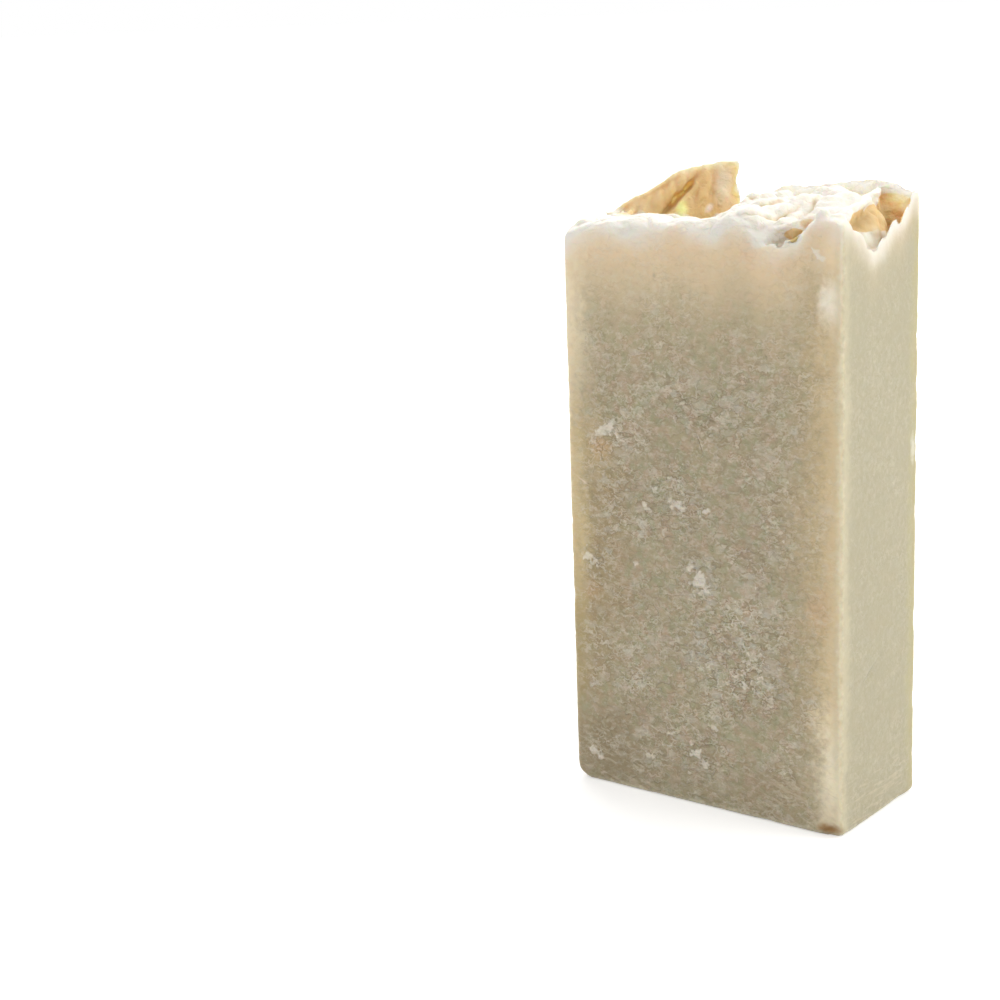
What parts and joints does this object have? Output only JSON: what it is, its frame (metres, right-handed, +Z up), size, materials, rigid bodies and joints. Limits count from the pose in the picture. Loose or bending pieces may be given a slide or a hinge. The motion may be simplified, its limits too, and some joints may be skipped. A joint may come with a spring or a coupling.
{
  "type": "bar of soap",
  "caption": "Tall hand-cut bar of soap with flat cut faces and a rough, folded top that rises in a thin wave at one back corner.",
  "frame": {"origin": "centre of the flat bottom that the bar stands on", "axes": "+Z up to the rough top; +Y from one broad cut face to the other, through the thickness; +X across the broad face, with the near corner's lump at +X -Y"},
  "size_m": [0.05, 0.025, 0.1009],
  "materials": {
    "soap": "dry waxy soap, khaki, with pale ash on the rough top"
  },
  "bodies": {
    "root": {"soap_bar": "soap"}
  },
  "joints": []
}
